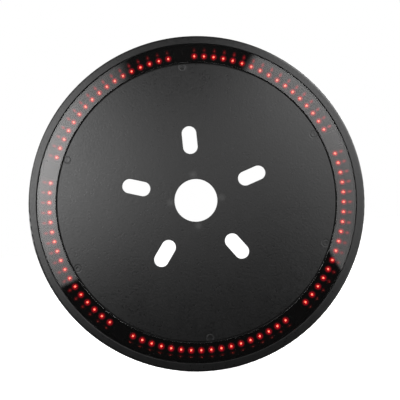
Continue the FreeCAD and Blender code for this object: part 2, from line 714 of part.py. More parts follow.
def check_document():
    """Stop if any object failed or any sub-part's shape is empty or broken."""
    for item in doc.Objects:
        if "Invalid" in item.State or "Error" in item.State:
            raise RuntimeError(f"{item.Label} failed: {item.State}")
    for part in sub_parts:
        if part.Shape.isNull() or not part.Shape.isValid() or not part.Shape.Solids:
            raise RuntimeError(f"{part.Label} has no sound shape")


def write_parts():
    """Write each sub-part to a STEP file named after it."""
    os.makedirs("parts", exist_ok=True)
    for part in sub_parts:
        part.Shape.exportStep(f"parts/{part.Label}.step")
        print(f"{part.Label}: {len(part.Shape.Solids)} solid(s), {part.Shape.Volume:.1f} cubic mm")


make_front_housing()
make_lens_ring()
make_lens_seals()
for arc in range(1, count("size.slot_count") + 1):
    make_light_trough(arc)
    make_circuit_board(arc)
    make_led_bodies(arc)
    make_led_emitters(arc)
    make_resistors(arc)
make_board_links()
make_board_screws()
make_rear_cover()
make_cover_gaskets()
make_cover_screws()
make_cable_grommet()
doc.recompute()
check_document()
write_parts()
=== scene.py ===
"""Looks of a spare-wheel brake light: a black disc with a hub hole, lug slots and a ring of LEDs.

The disc stands upright on a pale floor. Its axis is the Y axis and its front faces -Y. Everything
is in metres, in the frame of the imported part. Angles run clockwise from +Z, seen from the front.
"""

import logging
import math
from collections.abc import Callable, Iterator, Sequence
from contextlib import contextmanager
from dataclasses import dataclass
from enum import Enum

import bmesh
import bpy
from mathutils import Matrix, Vector

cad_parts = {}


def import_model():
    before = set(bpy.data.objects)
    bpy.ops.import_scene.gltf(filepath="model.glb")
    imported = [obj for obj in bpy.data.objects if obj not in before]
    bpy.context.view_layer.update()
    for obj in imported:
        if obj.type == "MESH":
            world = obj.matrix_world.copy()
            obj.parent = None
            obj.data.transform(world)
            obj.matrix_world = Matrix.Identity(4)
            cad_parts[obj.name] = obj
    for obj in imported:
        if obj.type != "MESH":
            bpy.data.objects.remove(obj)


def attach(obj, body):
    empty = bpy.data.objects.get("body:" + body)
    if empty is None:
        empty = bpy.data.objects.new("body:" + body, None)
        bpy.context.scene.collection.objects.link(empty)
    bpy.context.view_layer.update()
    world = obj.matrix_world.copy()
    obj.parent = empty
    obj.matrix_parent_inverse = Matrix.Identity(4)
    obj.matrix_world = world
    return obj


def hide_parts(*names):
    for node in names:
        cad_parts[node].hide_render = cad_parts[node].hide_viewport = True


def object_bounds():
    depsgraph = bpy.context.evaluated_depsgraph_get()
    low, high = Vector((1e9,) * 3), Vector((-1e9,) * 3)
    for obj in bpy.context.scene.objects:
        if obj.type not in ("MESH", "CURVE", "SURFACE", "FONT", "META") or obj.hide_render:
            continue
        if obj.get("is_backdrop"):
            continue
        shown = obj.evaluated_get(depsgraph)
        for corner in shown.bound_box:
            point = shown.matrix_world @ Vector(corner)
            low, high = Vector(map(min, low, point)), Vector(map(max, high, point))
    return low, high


MM = 0.001
WELD = 0.002 * MM
BODY = "root"
ARCS = range(1, 6)
SECTOR = math.radians(72)
NOISE_LOW, NOISE_HIGH = 0.3, 0.7
WHITE = (1, 1, 1, 1)
Colour = tuple[float, float, float]
Span = tuple[float, float]
Socket = bpy.types.NodeSocket
Piece = bpy.types.Object
Material = bpy.types.Material

log = logging.getLogger("brake_light")


class Slot(Enum):
    """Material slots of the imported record."""

    HOUSING = "housing_plastic"
    COVER = "cover_plastic"
    LENS = "lens_smoke"
    SEALANT = "sealant"
    GASKET = "gasket_rubber"
    GROMMET = "grommet_rubber"
    TROUGH = "trough_gloss"
    BOARD = "board_laminate"
    LED_BODY = "led_package"
    LED_EYE = "led_red"
    RESISTOR = "resistor_black"
    WIRE = "wire_pvc"
    STEEL = "screw_steel"
    BLACK_SCREW = "screw_black"


Finishes = dict[Slot, Material]


class NodeSheet:
    """A shader's nodes, added and joined by socket name."""

    def __init__(self, tree: bpy.types.NodeTree) -> None:
        """Start with an empty tree.

        Args:
            tree: the tree of a material, a lamp or the world.
        """
        self.tree = tree
        self.tree.nodes.clear()

    def add(self, kind: str, inputs: dict | None = None, **settings: object) -> bpy.types.Node:
        """Add a node.

        Args:
            kind: the node's type.
            inputs: values or source sockets, by the name or number of the input.
            settings: the node's own properties.

        Returns:
            The new node.
        """
        node = self.tree.nodes.new(kind)
        for key, value in settings.items():
            setattr(node, key, value)
        for key, value in (inputs or {}).items():
            if isinstance(value, Socket):
                self.tree.links.new(value, node.inputs[key])
            else:
                node.inputs[key].default_value = value
        return node

    def math(self, operation: str, *terms: Socket | float) -> Socket:
        """The result of a sum on one to three terms."""
        return self.add("ShaderNodeMath", dict(enumerate(terms)), operation=operation).outputs[0]

    def vector(self, operation: str, first: Socket,
               second: Sequence[float] = (0, 0, 0)) -> bpy.types.Node:
        """A sum on vectors, as a node with a Vector and a Value output."""
        return self.add("ShaderNodeVectorMath", {0: first, 1: second}, operation=operation)

    def parts(self, vector: Socket) -> bpy.types.bpy_prop_collection:
        """The X, Y and Z of a vector, by name."""
        return self.add("ShaderNodeSeparateXYZ", {0: vector}).outputs

    def length(self, first: Socket, second: Socket) -> Socket:
        """The length of a line from its two parts at right angles."""
        squares = [self.math("MULTIPLY", part, part) for part in (first, second)]
        return self.math("SQRT", self.math("ADD", *squares))

    def between(self, factor: Socket, low: float, high: float,
                start: float = NOISE_LOW, end: float = NOISE_HIGH,
                curve: str = "LINEAR") -> Socket:
        """Turn a factor that runs from start to end into a value that runs from low to high."""
        inputs = {"Value": factor, "From Min": start, "From Max": end,
                  "To Min": low, "To Max": high}
        return self.add("ShaderNodeMapRange", inputs, interpolation_type=curve).outputs["Result"]

    def fade(self, factor: Socket, low: float, high: float, start: float, end: float) -> Socket:
        """Like between, but easing in and out."""
        return self.between(factor, low, high, start, end, "SMOOTHSTEP")


class Finish(NodeSheet):
    """The node sheet of one material, with patterns in the object's own coordinates."""

    def __init__(self, name: str) -> None:
        """Start an empty material.

        Args:
            name: the material's name.
        """
        self.material = bpy.data.materials.new(name)
        self.material.use_nodes = True
        super().__init__(self.material.node_tree)
        self.place = self.add("ShaderNodeTexCoord").outputs["Object"]

    def noise(self, size: float, detail: float = 2.0) -> Socket:
        """Cloudy noise with lumps of about the given size, in metres."""
        inputs = {"Vector": self.place, "Scale": 1 / size, "Detail": detail}
        return self.add("ShaderNodeTexNoise", inputs).outputs[0]

    def cells(self, size: float) -> Socket:
        """Distance to the middle of the nearest cell, for cells of the given size, in metres."""
        inputs = {"Vector": self.place, "Scale": 1 / size}
        return self.add("ShaderNodeTexVoronoi", inputs).outputs["Distance"]

    def blend(self, factor: Socket, first: Colour, second: Colour) -> Socket:
        """A colour between two, by the factor that noise gives."""
        node = self.add("ShaderNodeValToRGB", {"Fac": factor})
        ends = zip(node.color_ramp.elements, (first, second), (NOISE_LOW, NOISE_HIGH))
        for element, colour, position in ends:
            element.position = position
            element.color = (*colour, 1)
        return node.outputs["Color"]

    def uneven(self, factor: Socket, colour: Colour, tones: Span) -> Socket:
        """A colour between its darker and its lighter tone, by the factor that noise gives."""
        return self.blend(factor, *(shade(colour, tone) for tone in tones))

    def bump(self, height: Socket, depth: float,
             under: Socket | None = None) -> Socket:
        """A normal that shows a height map of the given depth, in metres, over another normal."""
        inputs = {"Height": height, "Distance": depth}
        if under is not None:
            inputs["Normal"] = under
        return self.add("ShaderNodeBump", inputs).outputs["Normal"]

    def from_axis(self) -> Socket:
        """Distance from the disc's axis."""
        flat = self.vector("MULTIPLY", self.place, (1, 0, 1)).outputs[0]
        return self.vector("LENGTH", flat).outputs[1]

    def from_led(self, row: "LedRow") -> Socket:
        """Distance from the middle of the nearest LED, along the disc's face.

        Args:
            row: the LEDs' places.

        Returns:
            The distance, in metres.
        """
        parts = self.parts(self.place)
        angle = self.math("ARCTAN2", parts["X"], parts["Z"])
        half = SECTOR / 2
        local = self.math("WRAP", self.math("SUBTRACT", angle, half), half, -half)
        nearest = self.math("ROUND", self.math("DIVIDE", local, row.pitch))
        last = (row.count - 1) // 2
        nearest = self.math("MAXIMUM", self.math("MINIMUM", nearest, last), -last)
        turn = self.math("SUBTRACT", local, self.math("MULTIPLY", nearest, row.pitch))
        aside = self.math("MULTIPLY", turn, row.circle)
        out = self.math("SUBTRACT", self.from_axis(), row.circle)
        return self.length(aside, out)

    def close(self, **inputs: object) -> Material:
        """Close the sheet with a Principled shader.

        Args:
            inputs: the shader's inputs, with underscores for the blanks in their names.

        Returns:
            The finished material.
        """
        named = {key.replace("_", " "): value for key, value in inputs.items()}
        shader = self.add("ShaderNodeBsdfPrincipled", named)
        self.add("ShaderNodeOutputMaterial", {"Surface": shader.outputs["BSDF"]})
        return self.material


def shade(colour: Colour, factor: float) -> Colour:
    """A colour made lighter or darker by a factor."""
    red, green, blue = colour
    return red * factor, green * factor, blue * factor


@dataclass(frozen=True)
class LedRow:
    """Places of the LEDs: their circle, the angle from one to the next and how many an arc has."""

    circle: float = 157.2 * MM
    pitch: float = (SECTOR - math.radians(10.35)) / 16
    count: int = 17

    def angles(self, arc: int) -> list[float]:
        """The angles of an arc's LEDs, for the arcs counted from one."""
        middle = (arc - 0.5) * SECTOR
        last = (self.count - 1) / 2
        return [middle + (index - last) * self.pitch for index in range(self.count)]


@dataclass(frozen=True)
class MattePlastic:
    """Moulded plastic with the fine grain of a spark-eroded mould."""

    name: str
    colour: Colour
    roughness: float
    grain: float = 0.35 * MM
    grain_depth: float = 0.012 * MM
    mottle: float = 2.0 * MM
    mottle_depth: float = 0.13 * MM
    mottle_gloss: float = 0.06
    cloud: float = 28 * MM
    cloud_gloss: float = 0.02
    pellet: float = 2.1 * MM
    tones: Span = (0.8, 1.25)
    ior: float = 1.45

    def material(self) -> Material:
        """Make the finish."""
        sheet = Finish(self.name)
        return sheet.close(Base_Color=self.tone(sheet), Roughness=self.gloss(sheet),
                           Normal=self.relief(sheet), IOR=self.ior)

    def tone(self, sheet: Finish) -> Socket:
        """The plastic's colour, a little uneven from pellet to pellet."""
        return sheet.uneven(sheet.noise(self.pellet), self.colour, self.tones)

    def gloss(self, sheet: Finish) -> Socket:
        """The roughness, with soft clouds and finer mottling."""
        clouds = sheet.between(sheet.noise(self.cloud, detail=4),
                               -self.cloud_gloss, self.cloud_gloss)
        mottle = sheet.between(sheet.noise(self.mottle, detail=3),
                               -self.mottle_gloss, self.mottle_gloss)
        return sheet.math("ADD", sheet.math("ADD", clouds, mottle), self.roughness)

    def relief(self, sheet: Finish) -> Socket:
        """The grain of the mould, as a normal."""
        waves = sheet.bump(sheet.noise(self.mottle, detail=3), self.mottle_depth)
        grain = sheet.bump(sheet.noise(self.grain, detail=3), self.grain_depth, under=waves)
        return sheet.bump(sheet.cells(self.grain * 2), self.grain_depth, under=grain)


@dataclass(frozen=True)
class MouldedFront(MattePlastic):
    """The matte plastic of the disc, with gate blush by the hub hole and rings over the bosses."""

    gate_circle: float = 27.0 * MM
    gate_reach: float = 6.0 * MM
    gate_tone: float = 0.024
    boss_circle: float = 142.75 * MM
    boss_angles: tuple[float, ...] = (0, 66.6, 114.2, 180)
    ring_radius: float = 3.4 * MM
    ring_width: float = 1.3 * MM
    ring_depth: float = 0.16 * MM
    ring_roughness: float = 0.22

    def gate(self, sheet: Finish) -> Socket:
        """One over the four gates beside the hub hole and nought away from them."""
        parts = sheet.parts(sheet.place)
        across, up = (sheet.math("ABSOLUTE", parts[axis]) for axis in "XZ")
        out = sheet.math("SUBTRACT", sheet.math("MAXIMUM", across, up), self.gate_circle)
        aside = sheet.math("MINIMUM", across, up)
        away = sheet.length(out, aside)
        return sheet.fade(away, 1, 0, 0, self.gate_reach)

    def ring(self, sheet: Finish) -> Socket:
        """One along the rings over the screw bosses and nought away from them."""
        parts = sheet.parts(sheet.place)
        angle = sheet.math("ABSOLUTE", sheet.math("ARCTAN2", parts["X"], parts["Z"]))
        turn = math.pi
        for boss in self.boss_angles:
            beside = sheet.math("ABSOLUTE", sheet.math("SUBTRACT", angle, math.radians(boss)))
            turn = sheet.math("MINIMUM", beside, turn)
        aside = sheet.math("MULTIPLY", turn, self.boss_circle)
        out = sheet.math("SUBTRACT", sheet.from_axis(), self.boss_circle)
        away = sheet.length(out, aside)
        off = sheet.math("ABSOLUTE", sheet.math("SUBTRACT", away, self.ring_radius))
        return sheet.fade(off, 1, 0, 0, self.ring_width)

    def tone(self, sheet: Finish) -> Socket:
        """The plastic's colour, paler over the gates."""
        base = super().tone(sheet)
        pale = (self.gate_tone, self.gate_tone, self.gate_tone, 1)
        return sheet.add("ShaderNodeMix", {"Factor": self.gate(sheet), "A": base, "B": pale},
                         data_type="RGBA").outputs["Result"]

    def gloss(self, sheet: Finish) -> Socket:
        """The roughness, higher along the rings."""
        added = sheet.math("MULTIPLY", self.ring(sheet), self.ring_roughness)
        return sheet.math("ADD", super().gloss(sheet), added)

    def relief(self, sheet: Finish) -> Socket:
        """The grain over the shallow rings, as a normal."""
        return sheet.bump(self.ring(sheet), -self.ring_depth, under=super().relief(sheet))


@dataclass(frozen=True)
class Polished:
    """A polished finish whose colour and roughness are a little uneven together."""

    name: str
    colour: Colour
    roughness: float
    lump: float = 5 * MM
    detail: float = 2
    tones: Span = (0.9, 1.1)
    gloss: Span = (0.8, 1.2)

    def material(self) -> Material:
        """Make the finish."""
        sheet = Finish(self.name)
        lumps = sheet.noise(self.lump, self.detail)
        tone = sheet.uneven(lumps, self.colour, self.tones)
        roughness = sheet.between(lumps, *(self.roughness * share for share in self.gloss))
        return sheet.close(Base_Color=tone, Roughness=roughness, **self.extras(sheet))

    def extras(self, sheet: Finish) -> dict[str, object]:
        """The shader's other inputs, with their nodes put on the sheet."""
        return {}


@dataclass(frozen=True)
class SmokedPolycarbonate(Polished):
    """Glossy, heavily smoked, clear plastic."""

    lump: float = 9 * MM
    detail: float = 5
    tones: Span = (0.96, 1.04)
    gloss: Span = (0.5, 1.5)
    ior: float = 1.55

    def extras(self, sheet: Finish) -> dict[str, object]:
        """Let light through."""
        return {"IOR": self.ior, "Transmission_Weight": 1.0}


@dataclass(frozen=True, kw_only=True)
class TroughWithPaintedGlow(Polished):
    """Polished black plastic with painted light on it: a painted red glow round each LED and a
    painted reflection of each LED on the outer wall.

    The painted reflections on the wall are dark below one height and full above another. They are
    also dim within one distance of the disc's upright middle line and full beyond another.
    """

    light: Colour
    strength: float
    reach: float
    core: float = 0.2
    specular: float = 0.45
    row: LedRow = LedRow(157.5 * MM)
    wall_row: LedRow = LedRow(163.3 * MM)
    wall_strength: float = 1.35
    wall_reach: float = 2.4 * MM
    dark_below: float = -130 * MM
    full_above: float = -20 * MM
    dim_within: float = 20 * MM
    full_beyond: float = 100 * MM
    dimmest: float = 0.15

    def extras(self, sheet: Finish) -> dict[str, object]:
        """Paint a red glow round each LED as emission, and add the painted reflections on the
        wall.
        """
        # Painted light: a red glow round each LED, put on the trough as emission.
        glow = sheet.fade(sheet.from_led(self.row), self.strength, 0,
                          self.reach * self.core, self.reach)
        return {"Specular_IOR_Level": self.specular, "Emission_Color": (*self.light, 1),
                "Emission_Strength": sheet.math("ADD", glow, self.painted_wall_reflections(sheet))}

    def painted_wall_reflections(self, sheet: Finish) -> Socket:
        """A painted reflection of each LED on the outer wall, as emission, strongest at the disc's
        sides.
        """
        # Painted reflection: a red patch by each LED on the wall, put on as emission.
        patch = sheet.fade(sheet.from_led(self.wall_row), self.wall_strength, 0,
                           0, self.wall_reach)
        parts = sheet.parts(sheet.place)
        # Painted shade: the reflections fade out low down and near the upright middle line.
        up = sheet.fade(parts["Z"], 0, 1, self.dark_below, self.full_above)
        out = sheet.fade(sheet.math("ABSOLUTE", parts["X"]), self.dimmest, 1,
                         self.dim_within, self.full_beyond)
        return sheet.math("MULTIPLY", patch, sheet.math("MULTIPLY", up, out))


@dataclass(frozen=True)
class Glow:
    """Cast resin that gives light, brightest over the middle of its LED.
    On the white LED packages this glow is painted light, their LED's shine put on as emission.
    """

    name: str
    colour: Colour
    light: Colour
    strength: float
    edge_strength: float
    reach: float
    row: LedRow = LedRow()
    cloud: float = 0.8 * MM
    tones: Span = (0.9, 1.1)
    light_tones: Span = (0.95, 1.05)
    roughness: float = 0.25

    def material(self) -> Material:
        """Make the finish."""
        sheet = Finish(self.name)
        cloud = sheet.noise(self.cloud, detail=1)
        tone = sheet.uneven(cloud, self.colour, self.tones)
        light = sheet.uneven(cloud, self.light, self.light_tones)
        glow = sheet.fade(sheet.from_led(self.row), self.strength, self.edge_strength,
                          0, self.reach)
        return sheet.close(Base_Color=tone, Roughness=self.roughness, Emission_Color=light,
                           Emission_Strength=glow)


@dataclass(frozen=True)
class Rubber:
    """Dull black rubber or cured sealant."""

    name: str
    colour: Colour
    roughness: float
    gloss: float = 0.5
    lump: float = 1.5 * MM
    lump_depth: float = 0.03 * MM
    tones: Span = (0.7, 1.3)

    def material(self) -> Material:
        """Make the finish."""
        sheet = Finish(self.name)
        lumps = sheet.noise(self.lump, detail=4)
        tone = sheet.uneven(lumps, self.colour, self.tones)
        normal = sheet.bump(lumps, self.lump_depth)
        return sheet.close(Base_Color=tone, Roughness=self.roughness, Normal=normal,
                           Specular_IOR_Level=self.gloss)


@dataclass(frozen=True)
class Metal(Polished):
    """Plated steel with fine turning marks."""

    lump: float = 0.25 * MM
    detail: float = 4
    tones: Span = (0.85, 1.1)
    gloss: Span = (0.7, 1.3)

    def extras(self, sheet: Finish) -> dict[str, object]:
        """Make it metal."""
        return {"Metallic": 1.0}


@dataclass(frozen=True)
class Laminate:
    """Glass-fibre laminate under solder mask, its weave just showing."""

    name: str
    colour: Colour
    weave: float = 0.6 * MM
    weave_depth: float = 0.01 * MM
    tones: Span = (0.8, 1.2)
    roughness: float = 0.3

    def material(self) -> Material:
        """Make the finish."""
        sheet = Finish(self.name)
        weave = sheet.noise(self.weave, detail=1)
        tone = sheet.uneven(weave, self.colour, self.tones)
        normal = sheet.bump(weave, self.weave_depth)
        return sheet.close(Base_Color=tone, Roughness=self.roughness, Normal=normal)


def finishes() -> Finishes:
    """Make every finish of the lamp, by its slot."""
    made = {
        Slot.HOUSING: MouldedFront("housing_black_abs", (0.004, 0.004, 0.0041), roughness=0.33),
        Slot.COVER: MattePlastic("cover_black_abs", (0.012, 0.012, 0.0122), roughness=0.42),
        Slot.LENS: SmokedPolycarbonate("lens_smoked_polycarbonate", (0.2, 0.18, 0.18),
                                       roughness=0.012),
        Slot.SEALANT: Rubber("sealant_black_silicone", (0.003, 0.003, 0.003), roughness=0.6,
                             gloss=0.15),
        Slot.GASKET: Rubber("gasket_rubber", (0.01, 0.01, 0.01), roughness=0.7),
        Slot.GROMMET: Rubber("grommet_rubber", (0.02, 0.02, 0.02), roughness=0.55),
        # Painted light: the trough's red glow round the LEDs and its painted reflections of them.
        Slot.TROUGH: TroughWithPaintedGlow("trough_gloss_black", (0.004, 0.004, 0.004), roughness=0.06,
                               light=(1.0, 0.006, 0.035), strength=2.4, reach=4.2 * MM),
        Slot.BOARD: Laminate("board_green_laminate", (0.012, 0.06, 0.02)),
        # Painted light: the white packages' red glow from their LEDs, put on as emission.
        Slot.LED_BODY: Glow("led_white_package_painted_glow", (0.7, 0.5, 0.45), light=(1.0, 0.014, 0.016),
                            strength=4.0, edge_strength=1.6, reach=2.2 * MM),
        Slot.LED_EYE: Glow("led_red_resin", (0.6, 0.05, 0.04), light=(1.0, 0.17, 0.11),
                           strength=19.0, edge_strength=17.0, reach=1.2 * MM),
        Slot.RESISTOR: Polished("resistor_black_glaze", (0.01, 0.01, 0.012), roughness=0.25),
        Slot.WIRE: Rubber("wire_black_pvc", (0.015, 0.015, 0.015), roughness=0.4),
        Slot.STEEL: Metal("screw_zinc_plate", (0.6, 0.6, 0.58), roughness=0.3),
        Slot.BLACK_SCREW: Metal("screw_black_oxide", (0.22, 0.22, 0.225), roughness=0.35),
    }
    return {slot: finish.material() for slot, finish in made.items()}


class Mode(Enum):
    """What edit mode selects."""

    POINTS = "VERT"
    EDGES = "EDGE"
    FACES = "FACE"


def choose(piece: Piece) -> None:
    """Select one piece and nothing else, and make it the active one."""
    bpy.ops.object.select_all(action="DESELECT")
    piece.select_set(True)
    bpy.context.view_layer.objects.active = piece


@contextmanager
def editing(piece: Piece, mode: Mode = Mode.POINTS) -> Iterator[None]:
    """Work on one piece in edit mode, with nothing selected at first.

    Args:
        piece: the piece.
        mode: what is selected in it.

    Yields:
        Nothing; edit mode is left at the end.
    """
    choose(piece)
    bpy.ops.object.mode_set(mode="EDIT")
    bpy.ops.mesh.select_mode(type=mode.value)
    bpy.ops.mesh.select_all(action="DESELECT")
    yield
    bpy.ops.object.mode_set(mode="OBJECT")


def pick(piece: Piece, mode: Mode, test: Callable[[Vector], bool]) -> None:
    """Select what passes a test of its middle, and nothing else.

    Args:
        piece: the piece in edit mode.
        mode: points, edges or faces.
        test: says of a place whether it is wanted.
    """
    bpy.ops.mesh.select_mode(type=mode.value)
    bpy.ops.mesh.select_all(action="DESELECT")
    sheet = bmesh.from_edit_mesh(piece.data)
    if mode is Mode.POINTS:
        for point in sheet.verts:
            point.select_set(test(point.co))
    elif mode is Mode.EDGES:
        for edge in sheet.edges:
            edge.select_set(test((edge.verts[0].co + edge.verts[1].co) / 2))
    else:
        for face in sheet.faces:
            face.select_set(test(face.calc_center_median()))
    sheet.select_flush_mode()
    bmesh.update_edit_mesh(piece.data)


def settle(piece: Piece) -> None:
    """Put a piece's place, turn and scale into its mesh."""
    choose(piece)
    bpy.ops.object.transform_apply(location=True, rotation=True, scale=True)


def smooth(piece: Piece, angle: float = 32) -> None:
    """Shade a piece smooth where its faces meet at less than an angle, in degrees."""
    choose(piece)
    bpy.ops.object.shade_smooth_by_angle(angle=math.radians(angle))


def round_copies(piece: Piece, angles: Sequence[float], circle: float = 0.0,
                 twist: float = 0.0) -> Piece:
    """Copy a piece round the disc's axis and join the copies into one.

    Args:
        piece: the piece, made at the top of the disc; it goes away.
        angles: one angle for each copy, clockwise from the top, in radians.
        circle: radius of the circle that the piece's own axis is on.
        twist: how far each copy is turned on its own axis from the one before, in radians.

    Returns:
        The joined piece.
    """
    own_axis = Matrix.Translation((0, 0, circle))
    copies = []
    for index, angle in enumerate(angles):
        copy = piece.copy()
        copy.data = piece.data.copy()
        turned = own_axis @ Matrix.Rotation(index * twist, 4, "Y") @ own_axis.inverted()
        copy.matrix_world = Matrix.Rotation(angle, 4, "Y") @ turned
        bpy.context.scene.collection.objects.link(copy)
        copies.append(copy)
    bpy.data.objects.remove(piece)
    bpy.ops.object.select_all(action="DESELECT")
    for copy in copies:
        copy.select_set(True)
    bpy.context.view_layer.objects.active = copies[0]
    bpy.ops.object.join()
    joined = bpy.context.object
    settle(joined)
    return joined


@dataclass(frozen=True)
class Corner:
    """A corner of a turned section: its radius, its place along the axis and its rounding."""

    radius: float
    along: float
    rounding: float = 0.0

    def place(self, centre: Vector) -> Vector:
        """The corner's place at the start of the spin."""
        return centre + Vector((self.radius, self.along, 0))


def with_supports(corners: Sequence[Corner]) -> list[Corner]:
    """Add a corner on each side of every rounding, so that the faces beside it shade flat.

    Args:
        corners: the section's corners in order.

    Returns:
        The corners with the added ones between them.
    """
    spread = 1.3
    supported = []
    for index, corner in enumerate(corners):
        added = []
        for other in (corners[index - 1], corners[(index + 1) % len(corners)]):
            across, along = other.radius - corner.radius, other.along - corner.along
            length = math.hypot(across, along)
            if corner.rounding and length > spread * (corner.rounding + other.rounding):
                step = spread * corner.rounding / length
                added.append(Corner(corner.radius + across * step, corner.along + along * step))
            else:
                added.append(None)
        supported += [point for point in (added[0], corner, added[1]) if point]
    return supported


def turn_section(corners: Sequence[Corner], steps: int, centre: Vector = Vector(),
                 segments: int = 4) -> Piece:
    """Draw a section by extruding a point from corner to corner, round its corners and spin it.

    Args:
        corners: the section's corners in order. It is closed unless both ends are on the axis.
        steps: how many steps the spin has.
        centre: a point on the axis, which is parallel to Y.
        segments: how many edges a rounding has.

    Returns:
        The turned piece, closed and with its faces outwards.
    """
    corners = with_supports(corners)
    places = [corner.place(centre) for corner in corners]
    bpy.ops.object.select_all(action="DESELECT")
    bpy.ops.mesh.primitive_plane_add(size=MM, location=places[0])
    piece = bpy.context.object
    settle(piece)
    on_axis = corners[0].radius == 0 and corners[-1].radius == 0
    path = places if on_axis else [*places, places[0]]
    with editing(piece):
        bpy.ops.mesh.select_all(action="SELECT")
        bpy.ops.mesh.merge(type="CENTER")
        for start, end in zip(path, path[1:]):
            bpy.ops.mesh.extrude_region_move(TRANSFORM_OT_translate={"value": end - start})
        bpy.ops.mesh.select_all(action="SELECT")
        bpy.ops.mesh.remove_doubles(threshold=WELD)
        for corner, place in zip(corners, places):
            if corner.rounding:
                pick(piece, Mode.POINTS, lambda point, at=place: (point - at).length < WELD)
                bpy.ops.mesh.bevel(offset=corner.rounding, segments=segments, affect="VERTICES")
        bpy.ops.mesh.select_all(action="SELECT")
        bpy.ops.mesh.spin(steps=steps, angle=math.tau, center=centre, axis=(0, 1, 0))
        bpy.ops.mesh.select_all(action="SELECT")
        bpy.ops.mesh.remove_doubles(threshold=WELD)
        bpy.ops.mesh.normals_make_consistent(inside=False)
    return piece


def complete(piece: Piece, name: str, slot: Slot, materials: Finishes, *nodes: str) -> Piece:
    """Name a new piece, dress it and fix it to the lamp in place of CAD nodes.

    Args:
        piece: the piece.
        name: its name.
        slot: its material slot.
        materials: every finish, by its slot.
        nodes: the CAD nodes that it stands for.

    Returns:
        The piece.
    """
    piece.name = name
    piece.data.name = name
    piece.data.materials.clear()
    piece.data.materials.append(materials[slot])
    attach(piece, BODY)
    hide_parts(*nodes)
    log.info("%s: %d faces, %s", name, len(piece.data.polygons), materials[slot].name)
    return piece


def dress(name: str, finish: Material) -> None:
    """Give a CAD node its finish.

    Args:
        name: the node.
        finish: the finish for all of it.
    """
    mesh = bpy.data.objects[name].data
    mesh.materials.clear()
    mesh.materials.append(finish)
    log.info("%s: %s", name, finish.name)


@dataclass(frozen=True)
class FrontShell:
    """The moulded disc: plate with hub hole and lug slots, lamp channel, bridges, rim and ribs."""

    node: str = "front_housing"

    def build(self, materials: Finishes) -> None:
        """Dress the shell."""
        dress(self.node, materials[Slot.HOUSING])


@dataclass(frozen=True)
class Lens:
    """The smoked ring and the beads of sealant in the grooves beside it."""

    plate_edge: float = 146.55 * MM
    inside: float = 148.05 * MM
    outside: float = 168.15 * MM
    rim_edge: float = 169.0 * MM
    front: float = -3.5 * MM
    back: float = -1.3 * MM
    front_round: float = 0.3 * MM
    back_round: float = 0.2 * MM
    bead_height: float = 1.0 * MM
    bead_hollow: float = 0.3 * MM
    bead_shoulder: float = 0.75
    bead_wave: float = 9 * MM
    bead_lump: float = 0.12 * MM
    steps: int = 288

    def build(self, materials: Finishes) -> None:
        """Make the ring and both beads."""
        self.make_ring(materials)
        for name, low, high in (("lens_seal_inner", self.plate_edge, self.inside),
                                ("lens_seal_outer", self.outside, self.rim_edge)):
            self.make_bead(name, low, high, materials)

    def make_ring(self, materials: Finishes) -> Piece:
        """Turn the flat ring with its rounded edges."""
        ring = turn_section([
            Corner(self.inside, self.front, self.front_round),
            Corner(self.outside, self.front, self.front_round),
            Corner(self.outside, self.back, self.back_round),
            Corner(self.inside, self.back, self.back_round),
        ], self.steps)
        smooth(ring)
        return complete(ring, "smoked_lens", Slot.LENS, materials, "lens_ring")

    def make_bead(self, node: str, low: float, high: float, materials: Finishes) -> Piece:
        """Turn one bead, hollow along its middle and a little uneven.

        Args:
            node: the CAD node that the bead stands for.
            low: radius of the groove's inner side.
            high: radius of its outer side.
            materials: every finish, by its slot.

        Returns:
            The bead.
        """
        top = self.back - self.bead_height
        shoulder = top + self.bead_hollow * self.bead_shoulder
        middle, quarter = (low + high) / 2, (high - low) / 4
        bead = turn_section([
            Corner(low, top),
            Corner(middle - quarter, shoulder),
            Corner(middle, top + self.bead_hollow),
            Corner(middle + quarter, shoulder),
            Corner(high, top),
            Corner(high, self.back),
            Corner(low, self.back),
        ], self.steps)
        surface = bead.vertex_groups.new(name="surface")
        free = [point.index for point in bead.data.vertices
                if low + quarter / 2 < math.hypot(point.co.x, point.co.z) < high - quarter / 2]
        surface.add(free, 1.0, "REPLACE")
        lumps = bpy.data.textures.new(f"{node}_lumps", "CLOUDS")
        lumps.noise_scale = self.bead_wave
        wave = bead.modifiers.new("uneven", "DISPLACE")
        wave.texture = lumps
        wave.direction = "Y"
        wave.strength = self.bead_lump
        wave.vertex_group = surface.name
        bpy.ops.object.modifier_apply(modifier=wave.name)
        smooth(bead, angle=50)
        return complete(bead, node.replace("seal", "bead"), Slot.SEALANT, materials, node)


